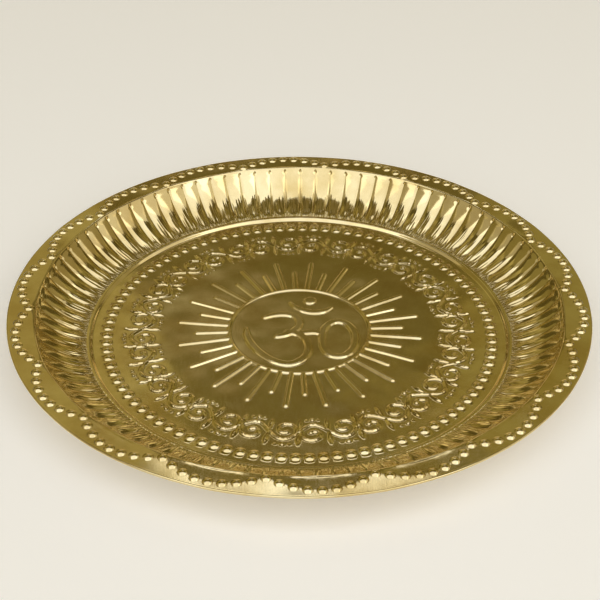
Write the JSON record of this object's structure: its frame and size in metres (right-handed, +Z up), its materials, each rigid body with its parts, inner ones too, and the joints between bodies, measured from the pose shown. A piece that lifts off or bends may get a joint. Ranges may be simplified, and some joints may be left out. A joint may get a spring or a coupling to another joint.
{
  "type": "puja thali",
  "caption": "Round shallow brass offering plate with a fluted wall leaning outward, a flat beaded rim and an embossed sunburst floor, used to carry lamps, flowers and food.",
  "frame": {"origin": "on the plate's axis, on the plane that the underside of the floor rests on", "axes": "+Z up along the plate's axis, -Y towards the viewer of the picture, +X to the viewer's right"},
  "size_m": [0.25, 0.25, 0.0191],
  "materials": {
    "brass": "pressed sheet, polished, lightly tarnished"
  },
  "bodies": {
    "root": {"centre_disc": "brass", "sunburst": "brass", "border_band": "brass", "bead_ring": "brass", "foot_ring": "brass", "fluted_wall": "brass", "beaded_rim": "brass", "rolled_edge": "brass"}
  },
  "joints": []
}
